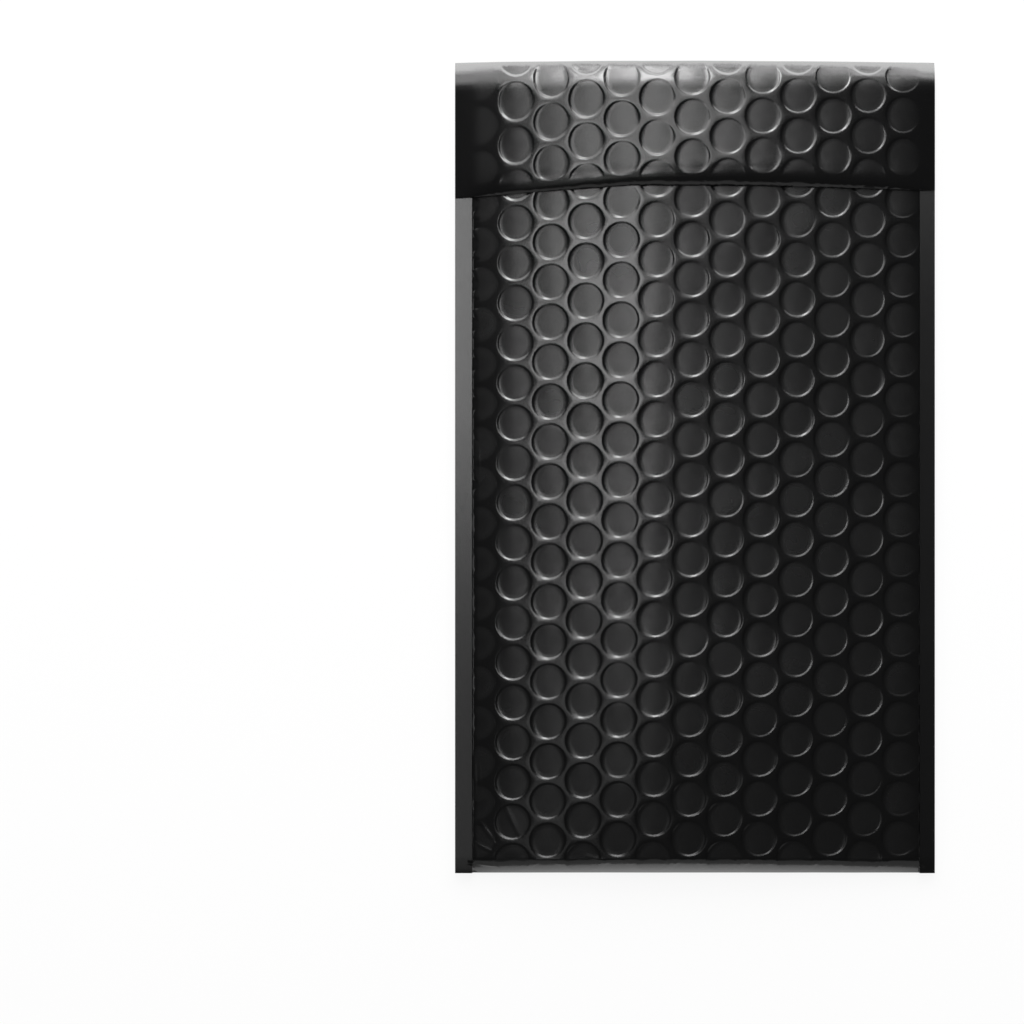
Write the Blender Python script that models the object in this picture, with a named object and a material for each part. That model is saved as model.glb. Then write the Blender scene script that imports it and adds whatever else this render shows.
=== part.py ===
"""Padded mailing envelope, closed, lying on its back. Metres, +Z up.

One web of film, welded to a bubble lining, is folded up into a pocket and over into a flap. X runs
across the envelope, +Y towards the fold of the flap, and the origin is under its middle.
The web is laid out flat first, as a strip. The bubbles are pressed into the strip, and then it is
bent round the section of the closed envelope.
"""

import bisect
import math

import bmesh
import bpy
from mathutils import Vector
from mathutils.geometry import delaunay_2d_cdt

MM = 0.001

# Closed outline
WIDTH = 150 * MM
LENGTH = 254 * MM
FLAP_REACH = 39.4 * MM

# The flap's lower edge is level in the middle and hangs lower at its corners
LEFT_DROOP = 3.7 * MM
RIGHT_DROOP = 1.2 * MM
LEVEL_HALF = 20 * MM

# Loft of the panels, measured up from the surface that the back lies on
BOTTOM_FOLD_HEIGHT = 5.0 * MM
FRONT_HEIGHT = 8.0 * MM
TOP_FOLD_HEIGHT = 9.0 * MM
FLAP_PANEL = 2.4 * MM
BOTTOM_FOLD_DEPTH = 4.0 * MM
TOP_FOLD_DEPTH = 4.4 * MM

# Lower edge of the flap: it rolls down to a thin lip that stands just off the front
ROLL_DEPTH = 6.8 * MM
LIP_THICKNESS = 0.5 * MM
LIP_OVERHANG = 4.6 * MM
LIP_GAP = 0.4 * MM

# Side seals, where the panels are pressed flat and welded
LEFT_SEAL = 5.3 * MM
RIGHT_SEAL = 4.7 * MM
SEAL_MIDDLE = 3.0 * MM
SEAL_THICKNESS = 0.5 * MM
FLAP_SEAL_GAP = 0.15 * MM
FLAP_SEAL_THICKNESS = 0.35 * MM
LEFT_SEAL_CURL = 0.5 * MM
SEAL_WALL = 0.25 * MM
SEAL_STEP = 0.2
FRONT_PAD_REACH = 35 * MM
BACK_PAD_REACH = 13 * MM

# Bubbles, in columns that are staggered by half a pitch
BUBBLE_RADIUS = 5.35 * MM
BUBBLE_PITCH = 12.46 * MM
COLUMN_PITCH = 10.98 * MM
COLUMNS = 12
FIRST_COLUMN = -55.9 * MM
FRONT_TOP_BUBBLE, FRONT_ROWS = 83.5 * MM, 17
FLAP_TOP_BUBBLE, FLAP_ROWS = 121.4 * MM, 3
BACK_TOP_BUBBLE, BACK_ROWS = 112.0 * MM, 19
RIM_WIDTH = 0.5 * MM
BUBBLE_DEPTH = 0.55 * MM
BUBBLE_CROWN = 0.35 * MM

# Facets
FRONT_SIDES = 8
BACK_SIDES = 6
TOP_FOLD_STEPS = 6
BOTTOM_FOLD_STEPS = 4
ROLL_STEPS = 3
SECTION_STEP = 2 * MM
FACET_LENGTH = 25 * MM
CLEAR_OF_BUBBLE = 0.6 * MM
NORMAL_STEP = 0.2 * MM
WELD = 0.001 * MM
SMOOTH_BELOW = math.radians(25)

HALF = WIDTH / 2
BOTTOM, TOP = -LENGTH / 2, LENGTH / 2
FRONT_END = BOTTOM + BOTTOM_FOLD_DEPTH
BACK_END = TOP - TOP_FOLD_DEPTH
FLAP_EDGE = TOP - FLAP_REACH
ROLL_START = FLAP_EDGE + ROLL_DEPTH
LIP_ROOT = FLAP_EDGE + LIP_OVERHANG
LEFT_EDGE, RIGHT_EDGE = LEFT_SEAL - HALF, HALF - RIGHT_SEAL
FRONT_SEAL = SEAL_MIDDLE + SEAL_THICKNESS / 2
BACK_SEAL = SEAL_MIDDLE - SEAL_THICKNESS / 2
LIP_SEAL = FRONT_SEAL + FLAP_SEAL_GAP
FLAP_SEAL = LIP_SEAL + FLAP_SEAL_THICKNESS


def clamped(value):
    return min(max(value, 0.0), 1.0)


def steps(start, end, count):
    """Evenly spaced values from start to end, both included."""
    return [start + (end - start) * i / count for i in range(count + 1)]


def front_height(y):
    """Height of the front along its middle: it rises from the bottom fold and then runs level."""
    rise = 1 - clamped((y - FRONT_END) / (FLAP_EDGE - FRONT_END) * 2)
    return FRONT_HEIGHT - (FRONT_HEIGHT - BOTTOM_FOLD_HEIGHT) * rise**2


class Section:
    """The section of the closed envelope, as the outer face of the web runs round it.

    It starts under the flap, runs down the front, up the back, over the top fold, down the flap
    and back under the flap's lip. A point holds its place along the envelope, its height where the
    panels are padded, its height in the side seals, and how far in from the seals the padding rises.
    rows are the lengths of web that need a row of corners, each with the columns between corners.
    """

    def __init__(self):
        self.lengths, self.points, self.rows = [], [], []
        for y in steps(LIP_ROOT, FRONT_END, round((LIP_ROOT - FRONT_END) / SECTION_STEP)):
            self.add(y, front_height(y), FRONT_SEAL, FRONT_PAD_REACH)
        self.rows += [(0.0, 1), (self.lengths[-1], 2)]
        self.fold(FRONT_END, -BOTTOM_FOLD_DEPTH, BOTTOM_FOLD_HEIGHT, 0, (FRONT_SEAL, BACK_SEAL),
                  (FRONT_PAD_REACH, BACK_PAD_REACH), BOTTOM_FOLD_STEPS)
        self.back_start = self.lengths[-1]
        self.add(BACK_END, 0, BACK_SEAL, BACK_PAD_REACH, every=2)
        self.fold(BACK_END, TOP_FOLD_DEPTH, 0, TOP_FOLD_HEIGHT, (BACK_SEAL, FLAP_SEAL),
                  (BACK_PAD_REACH, FRONT_PAD_REACH), TOP_FOLD_STEPS)
        self.flap_start = self.lengths[-1]
        self.roll_down()

    def add(self, y, body, seal, reach, every=0):
        length = 0.0
        if self.points:
            length = self.lengths[-1] + math.hypot(y - self.points[-1][0], body - self.points[-1][1])
        self.lengths.append(length)
        self.points.append((y, body, seal, reach))
        if every:
            self.rows.append((length, every))

    def fold(self, start, depth, first, last, seals, reaches, count):
        """Half an ellipse that carries the web round from one face to the other."""
        for i in range(1, count + 1):
            turn, part = math.pi * i / count, i / count
            body = (first + last) / 2 + (first - last) / 2 * math.cos(turn)
            seal = seals[0] + (seals[1] - seals[0]) * part
            reach = reaches[0] + (reaches[1] - reaches[0]) * part
            self.add(start + depth * math.sin(turn), body, seal, reach, every=2 - (part > 0.5))

    def roll_down(self):
        """The flap's outer face, its rolled lower edge, and the lip's underside."""
        flap_height = front_height(ROLL_START) + LIP_GAP + FLAP_PANEL
        lip_bottom = front_height(FLAP_EDGE) + LIP_GAP
        lip_top = lip_bottom + LIP_THICKNESS
        for turn in steps(0, math.pi / 2, ROLL_STEPS):
            body = lip_top + (flap_height - lip_top) * math.cos(turn)
            self.add(ROLL_START - ROLL_DEPTH * math.sin(turn), body, FLAP_SEAL, FRONT_PAD_REACH, every=1)
        self.lip_top = self.lengths[-1]
        self.add(FLAP_EDGE, lip_bottom, LIP_SEAL, FRONT_PAD_REACH, every=1)
        self.lip_bottom = self.lengths[-1]
        self.add(LIP_ROOT, front_height(LIP_ROOT) + LIP_GAP, LIP_SEAL, FRONT_PAD_REACH, every=1)
        self.add(LIP_ROOT, front_height(LIP_ROOT), FRONT_SEAL, FRONT_PAD_REACH, every=1)
        self.end = self.lengths[-1]

    def at(self, length):
        """The section's point at a length along the web."""
        after = min(max(bisect.bisect_left(self.lengths, length), 1), len(self.lengths) - 1)
        start, stop = self.lengths[after - 1], self.lengths[after]
        part = clamped((length - start) / (stop - start))
        return [p + (q - p) * part for p, q in zip(self.points[after - 1], self.points[after])]

    def on_front(self, y):
        """Length of web down the front to a place y, which lies between two points of it."""
        after = next(i for i, point in enumerate(self.points) if point[0] <= y)
        (y0, *_), (y1, *_) = self.points[after - 1 : after + 1]
        start, stop = self.lengths[after - 1 : after + 1]
        return start + (stop - start) * (y0 - y) / (y0 - y1)

    def on_back(self, y):
        return self.back_start + y - FRONT_END

    def on_flap(self, y):
        return self.flap_start + BACK_END - y


def padding(x, reach):
    """0 on the side seals, and 1 where the panels have their full loft."""
    inside = min(x - LEFT_EDGE, RIGHT_EDGE - x)
    if inside < SEAL_WALL:
        return SEAL_STEP * clamped(inside / SEAL_WALL)
    return 1 - (1 - SEAL_STEP) * (1 - clamped((inside - SEAL_WALL) / reach)) ** 2


def droop(x, length, section):
    """How far the flap hangs below a level line. It fades out at the fold and at the lip's root."""
    down = clamped((length - section.flap_start) / (section.lip_top - section.flap_start))
    down *= 1 - clamped((length - section.lip_bottom) / LIP_OVERHANG)
    out = clamped((abs(x) - LEVEL_HALF) / (HALF - LEVEL_HALF))
    return down * out * (LEFT_DROOP if x < 0 else RIGHT_DROOP)


def place(x, length, section):
    """Where a point of the flat strip comes to lie on the closed envelope."""
    y, body, seal, reach = section.at(length)
    curl = LEFT_SEAL_CURL * clamped((LEFT_EDGE - x) / LEFT_SEAL)
    return Vector((x, y - droop(x, length, section), seal + (body - seal) * padding(x, reach) + curl))


def outward(x, length, section):
    along = place(x, length + NORMAL_STEP, section) - place(x, length - NORMAL_STEP, section)
    across = place(x + NORMAL_STEP, length, section) - place(x - NORMAL_STEP, length, section)
    return along.cross(across).normalized()


def bubble_centres(top, rows, length_at):
    """Centres of staggered columns: every other column starts half a pitch lower, one row short."""
    for column in range(COLUMNS):
        lowered = column % 2 == 0
        for row in range(rows - lowered):
            y = top - BUBBLE_PITCH * (row + lowered / 2)
            yield Vector((FIRST_COLUMN + COLUMN_PITCH * column, length_at(y)))


class Layout:
    """The flat strip's corners, the edges it has to keep, and the rings of its bubbles."""

    def __init__(self, section):
        self.points, self.edges, self.rings, self.middles = [], [], [], []
        fronts = list(bubble_centres(FRONT_TOP_BUBBLE, FRONT_ROWS, section.on_front))
        fronts += bubble_centres(FLAP_TOP_BUBBLE, FLAP_ROWS, section.on_flap)
        backs = list(bubble_centres(BACK_TOP_BUBBLE, BACK_ROWS, section.on_back))
        self.front_count = len(fronts)
        for centre in fronts:
            self.add_ring(centre, FRONT_SIDES)
        for centre in backs:
            self.add_ring(centre, BACK_SIDES)
        self.add_rows(section)

    def add_ring(self, centre, sides):
        first = len(self.points)
        for i in range(sides):
            turn = math.tau * (i + 0.5) / sides
            self.points.append(centre + BUBBLE_RADIUS * Vector((math.cos(turn), math.sin(turn))))
        self.rings.append(range(first + sides - 1, first - 1, -1))
        self.middles.append(len(self.points))
        self.points.append(centre)

    def add_line(self, corners):
        first = len(self.points)
        self.points.extend(corners)
        self.edges.extend((i, i + 1) for i in range(first, len(self.points) - 1))

    def add_rows(self, section):
        """Lines along the seals' edges, and rows across the strip wherever it bends."""
        lengths = {length for length, _ in section.rows}
        for start, end in ((0, section.on_front(FRONT_END)), (section.back_start, section.on_back(BACK_END))):
            lengths.update(steps(start, end, round((end - start) / FACET_LENGTH)))
        lengths = sorted(lengths)
        lefts = [-HALF, LEFT_EDGE, LEFT_EDGE + SEAL_WALL]
        rights = [RIGHT_EDGE - SEAL_WALL, RIGHT_EDGE, HALF]
        for x in lefts + rights:
            self.add_line([Vector((x, length)) for length in lengths])
        columns = steps(FIRST_COLUMN, FIRST_COLUMN + COLUMN_PITCH * (COLUMNS - 1), COLUMNS - 1)
        margin = (LEFT_EDGE + FIRST_COLUMN - BUBBLE_RADIUS) / 2
        self.points.extend(Vector((margin, length)) for length in lengths)
        for length, every in section.rows:
            xs = lefts + [margin] + columns[:-1:every] + columns[-1:] + rights
            self.add_line([Vector((x, length)) for x in xs])


def press_bubbles(layout):
    """The strip as a mesh: X across, Y down the web with its sign turned, Z the relief."""
    flat = [Vector((point.x, -point.y)) for point in layout.points]
    corners, _, faces, sources, _, owners = delaunay_2d_cdt(
        flat, layout.edges, [list(ring) for ring in layout.rings], 0, WELD / 10, True)
    strip = bmesh.new()
    verts = [strip.verts.new((corner.x, corner.y, 0)) for corner in corners]
    pressed = []
    for face, owner in zip(faces, owners):
        made = strip.faces.new([verts[i] for i in face])
        if any(ring < layout.front_count for ring in owner):
            pressed.append(made)
    strip.normal_update()
    bmesh.ops.inset_region(strip, faces=pressed, thickness=RIM_WIDTH, depth=-BUBBLE_DEPTH,
                           use_even_offset=True)
    middles = {point: ring for ring, point in enumerate(layout.middles)}
    for vert, origin in zip(verts, sources):
        for point in origin:
            if point in middles:
                crown = BUBBLE_CROWN if middles[point] < layout.front_count else 0
                vert.co.z = crown - BUBBLE_DEPTH
    return strip


def close_up(strip, section):
    """Bends the strip round the section, welds its two ends and caps the seals' outer edges."""
    bent = {}
    for vert in strip.verts:
        x, length, relief = vert.co.x, -vert.co.y, vert.co.z
        bent[vert] = place(x, length, section) + relief * outward(x, length, section)
    for vert, corner in bent.items():
        vert.co = corner
    bmesh.ops.remove_doubles(strip, verts=strip.verts, dist=WELD)
    bmesh.ops.holes_fill(strip, edges=[edge for edge in strip.edges if edge.is_boundary], sides=0)
    bmesh.ops.triangulate(strip, faces=[face for face in strip.faces if len(face.verts) > 3])
    bmesh.ops.recalc_face_normals(strip, faces=strip.faces)


def black_film():
    material = bpy.data.materials.new("black_film")
    material.use_nodes = True
    shader = material.node_tree.nodes["Principled BSDF"]
    shader.inputs["Base Color"].default_value = (0.012, 0.012, 0.013, 1)
    shader.inputs["Roughness"].default_value = 0.36
    shader.inputs["Metallic"].default_value = 0.0
    return material


def padded_envelope():
    section = Section()
    strip = press_bubbles(Layout(section))
    close_up(strip, section)
    mesh = bpy.data.meshes.new("padded_envelope")
    strip.to_mesh(mesh)
    strip.free()
    mesh.shade_smooth()
    mesh.set_sharp_from_angle(angle=SMOOTH_BELOW)
    mesh.materials.append(black_film())
    envelope = bpy.data.objects.new("padded_envelope", mesh)
    bpy.context.scene.collection.objects.link(envelope)


for old in list(bpy.data.objects):
    bpy.data.objects.remove(old)
padded_envelope()
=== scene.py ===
"""Padded mailing envelope, closed and lying on its back, dressed for its picture.

Metres, +Z up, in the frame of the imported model: X runs across the envelope and +Y towards its flap.
"""

import math

import bmesh
import bpy
import numpy as np
from mathutils import Matrix, Vector, noise


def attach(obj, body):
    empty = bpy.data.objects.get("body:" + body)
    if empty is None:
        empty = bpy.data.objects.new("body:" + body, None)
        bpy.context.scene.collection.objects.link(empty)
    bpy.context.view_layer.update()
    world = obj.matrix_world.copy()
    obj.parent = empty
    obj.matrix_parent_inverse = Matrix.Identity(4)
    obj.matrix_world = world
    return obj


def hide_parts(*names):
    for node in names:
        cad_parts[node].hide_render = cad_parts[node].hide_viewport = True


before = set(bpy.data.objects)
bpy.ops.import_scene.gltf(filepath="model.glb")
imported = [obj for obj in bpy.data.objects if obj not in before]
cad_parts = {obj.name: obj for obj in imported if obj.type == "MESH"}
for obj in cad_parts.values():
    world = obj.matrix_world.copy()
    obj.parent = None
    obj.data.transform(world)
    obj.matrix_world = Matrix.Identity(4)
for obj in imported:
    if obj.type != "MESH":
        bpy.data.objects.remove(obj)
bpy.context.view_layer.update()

MM = 0.001
scene = bpy.context.scene


# The bubble lining. The black film is fused over bubble film, so each air cell shows through it as a
# shallow round recess with a rolled rim and a flat floor. The cells stand in staggered columns.

BUBBLE_PITCH = 12.46 * MM
COLUMN_PITCH = 10.98 * MM
BUBBLE_SIDES = 24
WEB_RIM = 0.15 * MM
SHOULDER_RADIUS, SHOULDER_DROP = 5.9 * MM, 0.015 * MM
COLUMN_PAIRS = 7
PATCH_RADIUS = BUBBLE_PITCH / math.sqrt(3)
PATCH_STRETCH = COLUMN_PITCH / (BUBBLE_PITCH * math.sqrt(3) / 2)
WELD = 0.01 * MM

# Rings of a bubble from its shoulder inwards: how wide each one is, and how far it drops
FRONT_RINGS = [(0.12 * MM, 0.012 * MM), (0.21 * MM, 0.068 * MM), (0.21 * MM, 0.068 * MM),
               (0.21 * MM, 0.068 * MM), (0.12 * MM, 0.008 * MM), (1.20 * MM, 0)]
FRONT_CROWN = 0
BACK_RINGS = [(0.45 * MM, 0.09 * MM), (0.35 * MM, 0.02 * MM)]
BACK_CROWN = 0.05 * MM


def press_bubble(patch, rings, crown):
    """A six-sided patch of web with one bubble pressed into it, ring by ring."""
    turned = Matrix.Rotation(math.radians(30), 4, "Z")
    outline = bmesh.ops.create_circle(patch, segments=6, radius=PATCH_RADIUS, cap_ends=True,
                                      matrix=turned)["verts"]
    bmesh.ops.scale(patch, verts=outline, vec=(PATCH_STRETCH, 1, 1))
    bmesh.ops.subdivide_edges(patch, edges=patch.edges[:], cuts=BUBBLE_SIDES // 6 - 1)
    patch.normal_update()
    floor = patch.faces[:][0]
    bmesh.ops.inset_individual(patch, faces=[floor], thickness=WEB_RIM, use_even_offset=True)
    for vert in floor.verts:
        vert.co = vert.co.normalized() * SHOULDER_RADIUS - Vector((0, 0, SHOULDER_DROP))
    for width, drop in rings:
        bmesh.ops.inset_individual(patch, faces=[floor], thickness=width, depth=-drop,
                                   use_even_offset=True)
    bmesh.ops.poke(patch, faces=[floor], offset=crown)


# The route of the web round the closed envelope. It starts under the flap's lip, runs down the front,
# folds up the back and over the top, and comes down the flap, whose free edge rolls to a thin lip.

WIDTH, LENGTH = 150 * MM, 254 * MM
FLAP_REACH = 39.4 * MM
FRONT_HEIGHT, FRONT_RISE = 9.6 * MM, 60 * MM
BOTTOM_FOLD_HEIGHT, TOP_FOLD_HEIGHT = 7.0 * MM, 11.6 * MM
BOTTOM_FOLD_DEPTH, BOTTOM_FOLD_LOW, BOTTOM_FOLD_DIP = 5.0 * MM, 2.8 * MM, 2.5 * MM
TOP_FOLD_DEPTH, TOP_FOLD_DIP, TOP_FOLD_SHORT = 9.0 * MM, 2.2 * MM, 0.5 * MM
FLAP_PANEL, ROLL_DEPTH = 2.4 * MM, 6.8 * MM
LIP_THICKNESS, LIP_OVERHANG, LIP_GAP = 0.5 * MM, 4.6 * MM, 0.4 * MM

# Height at the side seals, how far the padding lifts each panel, and the steps of the route
FRONT_SEAL, BACK_SEAL = 3.25 * MM, 2.75 * MM
LIP_SEAL, FLAP_SEAL = 3.4 * MM, 3.75 * MM
FRONT_PAD, BACK_PAD = 1.0, 0.0
ROUTE_STEP = 0.5 * MM
FOLD_STEPS = 32

HALF = WIDTH / 2
BOTTOM, TOP = -LENGTH / 2, LENGTH / 2
FRONT_END = BOTTOM + BOTTOM_FOLD_DEPTH
BACK_END = TOP - TOP_FOLD_SHORT - TOP_FOLD_DEPTH
FLAP_EDGE = TOP - FLAP_REACH
ROLL_START = FLAP_EDGE + ROLL_DEPTH
LIP_ROOT = FLAP_EDGE + LIP_OVERHANG


def front_height(y):
    """Height of the front along its ridge: it rises from the bottom fold and then runs level."""
    rise = 1 - np.clip((y - FRONT_END) / FRONT_RISE, 0, 1)
    return FRONT_HEIGHT - (FRONT_HEIGHT - BOTTOM_FOLD_HEIGHT) * rise**2


flap_height = front_height(ROLL_START) + LIP_GAP + FLAP_PANEL
lip_bottom = front_height(FLAP_EDGE) + LIP_GAP


def straight(start, end, height, seal, pad):
    """Points of the route between two places along the envelope, without the first."""
    y = np.linspace(start, end, round(abs(end - start) / ROUTE_STEP) + 1)[1:]
    return [y, height(y), np.full_like(y, seal), np.full_like(y, pad), np.zeros_like(y)]


def fold(start, depth, heights, dip, seals, pads):
    """Points that carry the web from one face round its turn to the other.

    The turn is at the outermost height, less a dip that is the same from side to side.
    """
    part = np.linspace(0, 1, FOLD_STEPS + 1)[1:]
    before, outermost, after = heights
    away = np.cos(math.pi * part) ** 2
    span = np.where(part < 0.5, before - outermost, after - outermost)
    return [start + depth * np.sin(math.pi * part), outermost + span * away,
            seals[0] + (seals[1] - seals[0]) * part, pads[0] + (pads[1] - pads[0]) * part,
            dip * (1 - away)]


def roll():
    """Points of the flap's rolled edge, down to the top of its lip."""
    turn = np.linspace(0, math.pi / 2, FOLD_STEPS + 1)[1:]
    lip_top = lip_bottom + LIP_THICKNESS
    return [ROLL_START - ROLL_DEPTH * np.sin(turn), lip_top + (flap_height - lip_top) * np.cos(turn),
            np.full_like(turn, FLAP_SEAL), np.full_like(turn, FRONT_PAD), np.zeros_like(turn)]


web_end = [[LIP_ROOT], [front_height(LIP_ROOT)], [FRONT_SEAL], [FRONT_PAD], [0]]
legs = [
    web_end,
    straight(LIP_ROOT, FRONT_END, front_height, FRONT_SEAL, FRONT_PAD),
    fold(FRONT_END, -BOTTOM_FOLD_DEPTH, (BOTTOM_FOLD_HEIGHT, BOTTOM_FOLD_LOW, 0), BOTTOM_FOLD_DIP,
         (FRONT_SEAL, BACK_SEAL), (FRONT_PAD, BACK_PAD)),
    straight(FRONT_END, BACK_END, np.zeros_like, BACK_SEAL, BACK_PAD),
    fold(BACK_END, TOP_FOLD_DEPTH, (0, TOP_FOLD_HEIGHT, TOP_FOLD_HEIGHT), TOP_FOLD_DIP,
         (BACK_SEAL, FLAP_SEAL), (BACK_PAD, FRONT_PAD)),
    straight(BACK_END, ROLL_START,
             lambda y: TOP_FOLD_HEIGHT + (flap_height - TOP_FOLD_HEIGHT) * (BACK_END - y)
             / (BACK_END - ROLL_START), FLAP_SEAL, FRONT_PAD),
    roll(),
    [[FLAP_EDGE], [lip_bottom], [LIP_SEAL], [FRONT_PAD], [0]],
    straight(FLAP_EDGE, LIP_ROOT, lambda y: front_height(y) + LIP_GAP, LIP_SEAL, FRONT_PAD),
    web_end,
]
route = np.concatenate([np.array(leg) for leg in legs], axis=1)
runs = np.concatenate([[0], np.cumsum(np.hypot(*np.diff(route[:2], axis=1)))])
last = np.cumsum([len(leg[0]) for leg in legs]) - 1
(FRONT_RUN, BOTTOM_RUN, BACK_RUN, TOP_RUN, FLAP_RUN, ROLL_RUN, LIP_RUN, ROOT_RUN,
 WEB_RUN) = runs[last][1:]
BOTTOM_TURN, TOP_TURN = runs[last[[2, 4]] - FOLD_STEPS // 2]

# The bubbles of the front and of the flap are one lining, so the back takes up what is left over
FIRST_COLUMN = -66.88 * MM
FRONT_TOP_BUBBLE, FLAP_TOP_BUBBLE = 83.5 * MM, 121.4 * MM
FIRST_BUBBLE = LIP_ROOT - FRONT_TOP_BUBBLE
FLAP_ROW = 38
FRONT_ROWS, BACK_ROWS, FLAP_ROWS = range(-1, 18), range(18, 37), range(37, 43)
flap_start = FIRST_BUBBLE + BUBBLE_PITCH * FLAP_ROW - (BACK_END - FLAP_TOP_BUBBLE)
WEB_ROWS = 42
LAID_RUNS = [0, FRONT_RUN, flap_start, flap_start + ROLL_RUN - TOP_RUN, BUBBLE_PITCH * WEB_ROWS]
TRUE_RUNS = [0, FRONT_RUN, TOP_RUN, ROLL_RUN, WEB_RUN]


# The side seals, where front and back are pressed flat and welded. The padding swells up from them to
# a soft ridge left of the middle, steeply next to the weld. The flap isn't welded down at its sides.

LEFT_SEAL, RIGHT_SEAL = 5.3 * MM, 4.7 * MM
LEFT_EDGE, RIGHT_EDGE = LEFT_SEAL - HALF, HALF - RIGHT_SEAL
SEAL_WALL = 0.25 * MM
SEAL_STEP = 0.14
SEAL_STRIPS = 3
BACK_REACH = 13 * MM
LEFT_DROOP, RIGHT_DROOP = 3.7 * MM, 1.2 * MM
LEVEL_HALF = 20 * MM
LOOSE_BLEND = 6 * MM
NORMAL_STEP = 0.2 * MM

# Slope of the front and of the flap from side to side: place in mm, and degrees
FRONT_SLOPES = [(-70, 22), (-62, 16), (-57, 8), (-40, 6), (-22, 6), (-14, 2), (-6, -1), (4, -2),
                (20, -3.2), (40, -5.2), (62, -6), (66, -10), (70, -18)]
FLAP_SLOPES = [(-75, 18), (-62, 16), (-56, 7), (-40, 5), (-22, 4), (-6, 1), (4, -1), (20, -3.2),
               (40, -5.2), (62, -7), (68, -12), (75, -16)]


def swelling(slopes):
    """Height from side to side as a share of the ridge, worked out from the slopes."""
    places, degrees = np.array(slopes).T
    across = np.linspace(places[0], places[-1], 500)
    steps = np.tan(np.radians(np.interp(across, places, degrees)))
    height = np.cumsum(steps - steps.mean())
    return across * MM, height / height.max()


front_swell, flap_swell = swelling(FRONT_SLOPES), swelling(FLAP_SLOPES)


def padding(x, pad, loose):
    """0 on the side seals, and 1 where the panels have their full loft."""
    inside = np.minimum(x - LEFT_EDGE, RIGHT_EDGE - x)
    back = 1 - (1 - np.clip(inside / BACK_REACH, 0, 1)) ** 2
    welded = pad * np.interp(x, *front_swell) + (1 - pad) * back
    welded = SEAL_STEP + (1 - SEAL_STEP) * welded
    welded = np.where(inside < SEAL_WALL, SEAL_STEP * np.clip(inside / SEAL_WALL, 0, 1), welded)
    return welded * (1 - loose) + np.interp(x, *flap_swell) * loose


def droop(x, run):
    """How far the flap hangs below a level line. It fades out at the fold and at the lip's root."""
    down = np.clip((run - TOP_RUN) / (ROLL_RUN - TOP_RUN), 0, 1)
    down = down * (1 - np.clip((run - LIP_RUN) / LIP_OVERHANG, 0, 1))
    out = np.clip((abs(x) - LEVEL_HALF) / (HALF - LEVEL_HALF), 0, 1)
    return down * out * np.where(x < 0, LEFT_DROOP, RIGHT_DROOP)


def place(x, run):
    """Where points of the flat web come to lie on the closed envelope."""
    y, body, seal, pad, dip = (np.interp(run, runs, values) for values in route)
    loose = np.interp(run, [BACK_RUN - LOOSE_BLEND, TOP_TURN, LIP_RUN, ROOT_RUN], [0, 1, 1, 0])
    dip *= np.maximum(loose, np.clip(np.minimum(x - LEFT_EDGE, RIGHT_EDGE - x) / SEAL_WALL, 0, 1))
    height = seal + (body - seal) * padding(x, pad, loose) - dip
    return np.stack([x, y - droop(x, run), height], axis=1)


def outward(x, run):
    """The closed web's unit normals."""
    along = place(x, run + NORMAL_STEP) - place(x, run - NORMAL_STEP)
    across = place(x + NORMAL_STEP, run) - place(x - NORMAL_STEP, run)
    normal = np.cross(along, across)
    return normal / np.linalg.norm(normal, axis=1, keepdims=True)


def side_edges(web, x):
    return [edge for edge in web.edges
            if edge.is_boundary and all(abs(vert.co.x - x) < WELD for vert in edge.verts)]


def weld_sides(web):
    """The seals are flat strips from the edge of the weld to the outer edge."""
    for inner, outer in ((LEFT_EDGE, -HALF), (RIGHT_EDGE, HALF)):
        edges = side_edges(web, inner)
        for _ in range(SEAL_STRIPS):
            made = bmesh.ops.extrude_edge_only(web, edges=edges)["geom"]
            edges = [item for item in made if isinstance(item, bmesh.types.BMEdge)]
            verts = [item for item in made if isinstance(item, bmesh.types.BMVert)]
            bmesh.ops.translate(web, verts=verts, vec=((outer - inner) / SEAL_STRIPS, 0, 0))


# The relief of the film. The bubbles differ a little, each is deeper on its lower side, and they fade
# out towards the seals and the folds. The padding under them is wavy, and handling has left creases.

SEED = 5
ROW_MARGIN, COLUMN_MARGIN = 2, 1

# The bubbles: depth at places across, how much deeper their lower side is, and how their floors lie
DEPTH_ACROSS = [-60 * MM, -36 * MM, -12 * MM, 20 * MM, 60 * MM], [0.68, 0.76, 0.64, 0.52, 0.46]
DEPTH_SPREAD = 0.1
TIPPED = 0.6
FLOOR_RADIUS, FLOOR_OUTSIDE, FLOOR_BLEND = 4.85 * MM, 5.45 * MM, 0.6 * MM
FLOOR_LEAN, WALL_WIDTH = 0.013, 0.9 * MM
FLOOR_SAG, SAG_SPREAD = 0.12 * MM, 0.3
LEAN_SPREAD, NOD_SPREAD = 0.006, 0.004
CRUSHED = 0.12

# How far from the seals, the web's ends and its turns the relief fades, and how flat the turns press it
SEAL_FADE = 3 * MM
END_FADE, END_BLEND = 2 * MM, 8 * MM
BARE_ROLL = 4 * MM
BOTTOM_FADE, TOP_FADE = 5.5 * MM, 2.5 * MM
FOLD_FLATNESS = 0.97

# How far the columns lean and the rows sag, and the waves of the padding
COLUMN_LEAN = 1.2 * MM
FRONT_SAG, FRONT_SAG_START = 1.6 * MM, -14 * MM
FLAP_SAG = 1.5 * MM
WAVE_LENGTH, WAVE_HEIGHT = 22 * MM, 0.09 * MM

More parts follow.
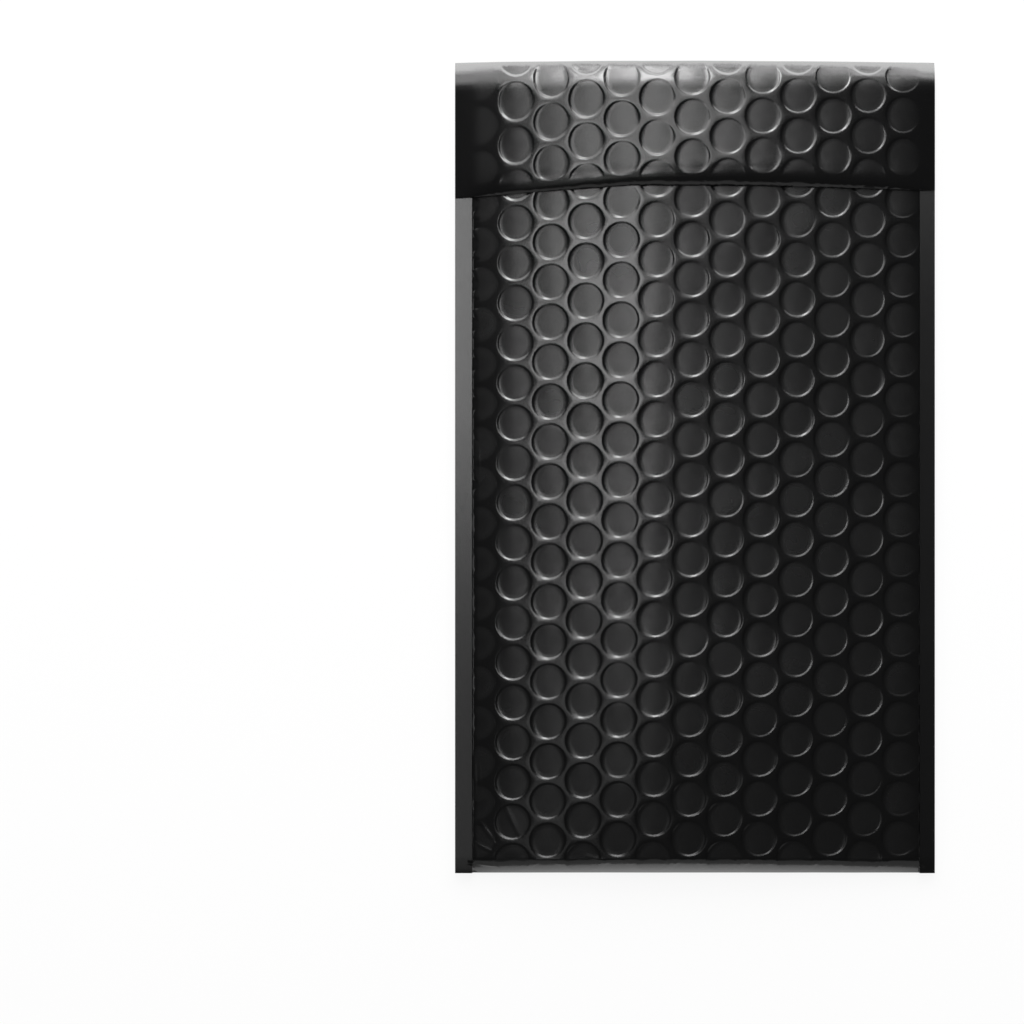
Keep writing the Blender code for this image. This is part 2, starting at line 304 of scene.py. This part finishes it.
# Creases: from and to across and along the flat web, height and reach, all in mm
CREASES = [((-58.3, 196.8), (-53.6, 206.6), 0.09, 0.75),
           ((-67.2, 84.2), (-66.9, 92.2), 0.05, 0.35), ((-68.2, 181.2), (-67.8, 193.2), 0.05, 0.35),
           ((-66.3, 183.2), (-66, 191.2), 0.04, 0.3), ((-66, 201.7), (-61.9, 207.4), 0.1, 0.6),
           ((-67, 208.7), (-62.5, 211.2), 0.1, 0.5), ((-67.4, 215.8), (-61, 217.1), 0.12, 0.5),
           ((-33, 213.2), (-26, 215.6), 0.08, 0.6)]


def film_relief(x, laid, height):
    """Height of the film over the web's own surface, and where it is a bubble's floor.

    Each bubble is deeper on its lower side than on its upper one. No two are quite alike, and the
    column next to the left weld is crushed.
    """
    column = np.rint((x - FIRST_COLUMN) / COLUMN_PITCH).astype(int)
    lowered = (column % 2) * BUBBLE_PITCH / 2
    row = np.rint((laid - FIRST_BUBBLE - lowered) / BUBBLE_PITCH).astype(int)
    across = x - FIRST_COLUMN - COLUMN_PITCH * column
    along = laid - FIRST_BUBBLE - lowered - BUBBLE_PITCH * row
    shape = WEB_ROWS + 2 * ROW_MARGIN, 2 * (COLUMN_PAIRS + COLUMN_MARGIN), 4
    luck = np.random.default_rng(SEED).normal(size=shape)
    depth, lean, nod, sag = luck[row + ROW_MARGIN, column + COLUMN_MARGIN].T
    lean, nod = LEAN_SPREAD * lean, NOD_SPREAD * nod
    aside = np.hypot(across, along)
    floor = np.clip((FLOOR_OUTSIDE - aside) / FLOOR_BLEND, 0, 1)
    leaning = FLOOR_LEAN * across * np.clip((SHOULDER_RADIUS - aside) / WALL_WIDTH, 0, 1)
    sag = FLOOR_SAG * (1 + SAG_SPREAD * sag) * (across / FLOOR_RADIUS) ** 2
    deep = np.interp(x, *DEPTH_ACROSS) * (1 + DEPTH_SPREAD * depth)
    deep *= 1 + TIPPED * np.clip(along / SHOULDER_RADIUS, -1, 1)
    relief = height * deep + leaning + floor * (across * lean + along * nod - sag)
    return np.where(column > 0, relief, CRUSHED * relief), floor


def creases(x, laid):
    """Height of the creases that handling has left near the left edge and the folds."""
    total = np.zeros_like(x)
    for start, end, height, reach in CREASES:
        start, end = np.array(start) * MM, np.array(end) * MM
        along = end - start
        length = np.linalg.norm(along)
        along /= length
        from_start = np.stack([x - start[0], laid - start[1]], axis=1)
        part = np.clip(from_start @ along / length, 0, 1)
        aside = np.linalg.norm(from_start - part[:, None] * along * length, axis=1)
        total += height * MM * np.exp(-((aside / (reach * MM)) ** 2)) * (part * (1 - part) * 4) ** 0.5
    return total


def unevenness(x, laid):
    """Broad gentle waves of the padding, seeded."""
    spots = np.stack([x, laid, np.zeros_like(x)], axis=1) / WAVE_LENGTH
    return WAVE_HEIGHT * np.array([noise.noise(Vector(spot)) for spot in spots])


def fold_up(web):
    """Carries every point of the flat web to its place. Its height becomes relief of the film."""
    flat = np.array([vert.co for vert in web.verts])
    x, laid = flat[:, 0], -flat[:, 1]
    run = np.interp(laid, LAID_RUNS, TRUE_RUNS)
    relief, floor = film_relief(x, laid, flat[:, 2])
    inside = np.minimum(x - LEFT_EDGE, RIGHT_EDGE - x)
    share = np.clip(inside / SEAL_FADE, 0, 1) * np.clip(run / END_FADE, 0, 1)
    share *= np.clip((ROLL_RUN - BARE_ROLL - run) / END_FADE, 0, 1)
    for turn, fade in ((BOTTOM_TURN, BOTTOM_FADE), (TOP_TURN, TOP_FADE)):
        share *= 1 - FOLD_FLATNESS * np.exp(-(((run - turn) / fade) ** 4))
    ends = np.clip(run / END_BLEND, 0, 1) * np.clip((ROLL_RUN - run) / END_BLEND, 0, 1)
    waves = unevenness(x, laid) * ends * np.clip(inside / END_BLEND, 0, 1)
    relief = relief * share + waves + creases(x, laid) * np.clip(inside / WELD, 0, 1)
    leaning = np.interp(run, [0, FRONT_RUN, TOP_RUN], [0, 1, 0])
    x = x - leaning * COLUMN_LEAN * np.clip(inside / SEAL_FADE, 0, 1)
    run = run + skew(x, run)
    closed = place(x, run) + relief[:, None] * outward(x, run)
    matte = web.verts.layers.float.new("bubble_floor")
    for vert, corner, dull in zip(web.verts, closed, floor * share):
        vert.co = corner
        vert[matte] = dull


def skew(x, run):
    """How far the rows sag towards the left. The web's two ends and its two turns stay straight."""
    front = FRONT_SAG * np.clip((FRONT_SAG_START - x) / (FRONT_SAG_START + HALF), 0, 1)
    flap = -FLAP_SAG * x / HALF
    share = np.interp(run, [BOTTOM_RUN, TOP_RUN], [0, 1])
    held = np.clip(run / END_BLEND, 0, 1) * np.clip((ROLL_RUN - run) / END_BLEND, 0, 1)
    for turn in (BOTTOM_TURN, TOP_TURN):
        held *= 1 - np.exp(-(((run - turn) / END_BLEND) ** 2))
    return (front * (1 - share) + flap * share) * held


# The web is made flat, with its bubbles pressed in row by row. It is cut along the lines where it bends
# or creases, welded to its side strips, and then folded up into the closed envelope.

CREASE_ROWS = (-1.6, -1.1, -0.7, -0.35, 0, 0.35, 0.7, 1.1, 1.6)
FOLD_ROWS = 1.0 * MM
CREASE_MARGIN = 2 * MM
SHARP_FROM = math.radians(50)


def lay_out(web, rows, rings, crown):
    """Adds rows of bubbles to the flat web, which runs from its start in the direction of -Y."""
    patch = bmesh.new()
    press_bubble(patch, rings, crown)
    for step, copies in (((COLUMN_PITCH, -BUBBLE_PITCH / 2, 0), 1),
                         ((2 * COLUMN_PITCH, 0, 0), COLUMN_PAIRS - 1),
                         ((0, -BUBBLE_PITCH, 0), len(rows) - 1)):
        bmesh.ops.spin(patch, geom=patch.verts[:] + patch.edges[:] + patch.faces[:], angle=0,
                       axis=(0, 0, 1), dvec=step, steps=copies, use_duplicate=True)
    start = (FIRST_COLUMN, -(FIRST_BUBBLE + BUBBLE_PITCH * rows.start), 0)
    bmesh.ops.translate(patch, verts=patch.verts, vec=start)
    piece = bpy.data.meshes.new("rows_of_bubbles")
    patch.to_mesh(piece)
    patch.free()
    web.from_mesh(piece)
    bpy.data.meshes.remove(piece)


web = bmesh.new()
lay_out(web, FRONT_ROWS, FRONT_RINGS, FRONT_CROWN)
lay_out(web, BACK_ROWS, BACK_RINGS, BACK_CROWN)
lay_out(web, FLAP_ROWS, FRONT_RINGS, FRONT_CROWN)
bmesh.ops.remove_doubles(web, verts=web.verts, dist=WELD)
bends = [BOTTOM_TURN, TOP_TURN, ROLL_RUN, LIP_RUN, ROOT_RUN,
         *np.arange(FLAP_RUN, ROLL_RUN - FOLD_ROWS / 2, FOLD_ROWS)]
for start, end in ((FRONT_RUN, BOTTOM_RUN), (BACK_RUN, TOP_RUN)):
    bends += list(np.arange(start, end, FOLD_ROWS))
laid_bends = np.interp(bends, TRUE_RUNS, LAID_RUNS)
for corner, direction in (((LEFT_EDGE, 0, 0), (-1, 0, 0)), ((RIGHT_EDGE, 0, 0), (1, 0, 0)),
                          ((0, 0, 0), (0, 1, 0)), ((0, -LAID_RUNS[-1], 0), (0, -1, 0))):
    bmesh.ops.bisect_plane(web, geom=web.verts[:] + web.edges[:] + web.faces[:], dist=WELD / 10,
                           plane_co=corner, plane_no=direction, clear_outer=True)
for corner, direction in [((LEFT_EDGE + SEAL_WALL, 0, 0), (-1, 0, 0)),
                          ((RIGHT_EDGE - SEAL_WALL, 0, 0), (1, 0, 0)),
                          *(((0, -laid, 0), (0, 1, 0)) for laid in laid_bends)]:
    bmesh.ops.bisect_plane(web, geom=web.verts[:] + web.edges[:] + web.faces[:], dist=WELD / 10,
                           plane_co=corner, plane_no=direction)
for start, end, *_ in CREASES:
    start, end = (Vector((x, -laid, 0)) * MM for x, laid in (start, end))
    middle, half = (start + end) / 2, (end - start).length / 2 + CREASE_MARGIN
    creased = [face for face in web.faces if (face.calc_center_median() - middle).length < half]
    near = [*creased, *{edge for face in creased for edge in face.edges},
            *{vert for face in creased for vert in face.verts}]
    side = (end - start).cross(Vector((0, 0, 1))).normalized()
    for row in CREASE_ROWS:
        near = bmesh.ops.bisect_plane(web, geom=near, dist=WELD / 10, plane_co=middle + side * row * MM,
                                      plane_no=side)["geom"]
weld_sides(web)
fold_up(web)
bmesh.ops.remove_doubles(web, verts=web.verts, dist=WELD)
open_edges = [edge for edge in web.edges if edge.is_boundary]
caps = bmesh.ops.holes_fill(web, edges=open_edges, sides=0)["faces"]
bmesh.ops.triangulate(web, faces=caps)
bmesh.ops.recalc_face_normals(web, faces=web.faces)
web_mesh = bpy.data.meshes.new("envelope_film")
web.to_mesh(web_mesh)
web.free()
web_mesh.shade_smooth()
web_mesh.set_sharp_from_angle(angle=SHARP_FROM)
envelope_film = bpy.data.objects.new("envelope_film", web_mesh)
scene.collection.objects.link(envelope_film)


# The finish of the film: black polyethylene with a satin gloss and a fine grain. The floors of the
# bubbles are duller than the web stretched between them, and handling has left faint smudges.

FILM_BLACK = (0.0013, 0.0013, 0.0014, 1)
GRAIN, GRAIN_HEIGHT = 0.45 * MM, 0.004 * MM
FLOOR_SMOOTHER = 0.6
SMUDGE = 26 * MM
SATIN, FLOOR_ROUGHER, SMUDGE_ROUGHER = 0.185, 0.07, 0.03


class Shade:
    """A socket of a material's node, so that shader maths reads as plain sums."""

    def __init__(self, tree, socket=None):
        self.tree, self.socket = tree, socket

    def node(self, kind, settings, sockets, output=0):
        """Adds a node: its settings first, and then the values or links of its sockets."""
        added = self.tree.nodes.new(kind)
        for name, value in settings.items():
            setattr(added, name, value)
        for name, value in sockets.items():
            if isinstance(value, Shade):
                self.tree.links.new(value.socket, added.inputs[name])
            else:
                added.inputs[name].default_value = value
        return Shade(self.tree, added.outputs[output] if added.outputs else None)

    def maths(self, operation, first, second):
        return self.node("ShaderNodeMath", {"operation": operation}, {0: first, 1: second})

    def __add__(self, other):
        return self.maths("ADD", self, other)

    def __sub__(self, other):
        return self.maths("SUBTRACT", self, other)

    def __rsub__(self, other):
        return self.maths("SUBTRACT", other, self)

    def __mul__(self, other):
        return self.maths("MULTIPLY", self, other)

    def __or__(self, other):
        return self.maths("MAXIMUM", self, other)

    __radd__, __rmul__, __ror__ = __add__, __mul__, __or__


def start_finish(name):
    material = bpy.data.materials.new(name)
    material.use_nodes = True
    material.node_tree.nodes.clear()
    return material, Shade(material.node_tree)


film, mix = start_finish("black_satin_film")
where = mix.node("ShaderNodeTexCoord", {}, {}, "Object")
bubble_floor = mix.node("ShaderNodeAttribute", {"attribute_name": "bubble_floor"}, {}, "Fac")
smudges = mix.node("ShaderNodeTexNoise", {}, {"Vector": where, "Scale": 1 / SMUDGE, "Detail": 3,
                                              "Roughness": 0.6})
grain = mix.node("ShaderNodeTexNoise", {}, {"Vector": where, "Scale": 1 / GRAIN, "Detail": 2})
bump = mix.node("ShaderNodeBump", {}, {"Height": grain * (1 - FLOOR_SMOOTHER * bubble_floor),
                                       "Strength": 1, "Distance": GRAIN_HEIGHT})
satin = mix.node("ShaderNodeBsdfPrincipled", {}, {
    "Base Color": FILM_BLACK, "IOR": 1.75, "Normal": bump,
    "Roughness": SATIN + FLOOR_ROUGHER * bubble_floor + SMUDGE_ROUGHER * smudges})
mix.node("ShaderNodeOutputMaterial", {}, {"Surface": satin})
web_mesh.materials.append(film)

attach(envelope_film, "root")
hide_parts("padded_envelope")


# The pale floor, a matt painted slab. The camera and the film's reflections see it nearly white, apart
# from the envelope's soft shadow.

FLOOR_HALF = 4
FLOOR_PAINT = (0.9, 0.9, 0.9, 1)
FLOOR_GLOW = 0.9

floor_mesh = bpy.data.meshes.new("pale_floor")
slab = bmesh.new()
bmesh.ops.create_grid(slab, x_segments=1, y_segments=1, size=FLOOR_HALF)
slab.to_mesh(floor_mesh)
slab.free()
pale_floor = bpy.data.objects.new("pale_floor", floor_mesh)
scene.collection.objects.link(pale_floor)

paint, mix = start_finish("pale_floor")
matt = mix.node("ShaderNodeBsdfPrincipled", {}, {"Base Color": FLOOR_PAINT, "Roughness": 0.9})
glow = mix.node("ShaderNodeEmission", {}, {"Color": (1, 1, 1, 1), "Strength": 1})
seen = [mix.node("ShaderNodeLightPath", {}, {}, f"Is {kind} Ray")
        for kind in ("Camera", "Glossy", "Transmission")]
white = mix.node("ShaderNodeMixShader", {}, {"Fac": FLOOR_GLOW * (seen[0] | seen[1] | seen[2]),
                                             1: matt, 2: glow})
mix.node("ShaderNodeOutputMaterial", {}, {"Surface": white})
floor_mesh.materials.append(paint)


# The light: soft boxes that hang face down over the envelope and its far side, a tall soft wall behind
# the fold of the flap, and a weak fill towards the bottom fold. The room itself is nearly dark.

LAMP_HEIGHT = 1.04
PANEL_DISTANCE, PANEL_WIDTH = 1.5, 2.4
WALL_RAISE, FILL_RAISE = math.radians(20), math.radians(25)
ROOM = 0.04


def soft_box(name, spot, size, radiance):
    """An area lamp that the camera doesn't see, face down until it is turned."""
    lamp = bpy.data.lights.new(name, "AREA")
    lamp.shape = "RECTANGLE"
    lamp.size, lamp.size_y = size
    lamp.energy = radiance * math.pi * size[0] * size[1]
    box = bpy.data.objects.new(name, lamp)
    box.location = spot
    box.visible_camera = False
    scene.collection.objects.link(box)
    return box


def hang(name, across, along, radiance):
    """A soft box face down between two places across and two along the envelope, in metres."""
    middle = (sum(across) / 2, sum(along) / 2, LAMP_HEIGHT)
    soft_box(name, middle, (across[1] - across[0], along[1] - along[0]), radiance)


def stand(name, side, rise, radiance):
    """A tall soft box from the floor up, towards +Y or -Y, that faces the envelope's middle."""
    spot = Vector((0, side * PANEL_DISTANCE * math.cos(rise), PANEL_DISTANCE * math.sin(rise)))
    tall = 2 * PANEL_DISTANCE * math.tan(rise)
    box = soft_box(name, spot, (PANEL_WIDTH, tall), radiance)
    box.rotation_euler = (-spot).to_track_quat("-Z", "Y").to_euler()


hang("near_bank", (-0.30, 0.20), (0.32, 0.52), 3)
hang("main_bank", (-0.16, 0.05), (0.54, 0.92), 13.5)
hang("main_wing", (-0.30, -0.16), (0.56, 0.92), 3)
hang("left_wing", (-0.55, -0.30), (0.40, 0.52), 5.6)
hang("key_strip", (-0.18, -0.07), (0, 0.24), 5)
hang("key_wash", (-0.07, 0.18), (0.18, 0.32), 1.4)
hang("low_strip", (-0.18, -0.07), (-0.30, 0), 0.6)
hang("far_bank", (-0.30, 1.1), (0.92, 1.12), 6)
hang("far_left", (-1.2, -0.30), (0.60, 1.12), 2.5)
hang("far_right", (0.05, 0.50), (0.52, 0.92), 1)
stand("back_wall", 1, WALL_RAISE, 6.9)
stand("front_fill", -1, FILL_RAISE, 0.28)

world = bpy.data.worlds.new("room")
scene.world = world
world.use_nodes = True
world.node_tree.nodes["Background"].inputs["Color"].default_value = (ROOM, ROOM, ROOM, 1)


# The camera looks straight down on the envelope through a long lens, square to its front. The frame
# is 320 mm wide at the envelope's height, and the envelope lies right of its middle.

LENS, SENSOR = 180, 36
FRAME_WIDTH = 320 * MM
FRAME_CENTRE = Vector((-57.2 * MM, -14.06 * MM, 4 * MM))
eye = bpy.data.cameras.new("camera")
eye.lens, eye.sensor_width = LENS, SENSOR
camera = bpy.data.objects.new("camera", eye)
camera.location = FRAME_CENTRE + Vector((0, 0, FRAME_WIDTH * LENS / SENSOR))
scene.collection.objects.link(camera)
scene.camera = camera

scene.view_settings.view_transform = "Standard"

bpy.context.view_layer.update()
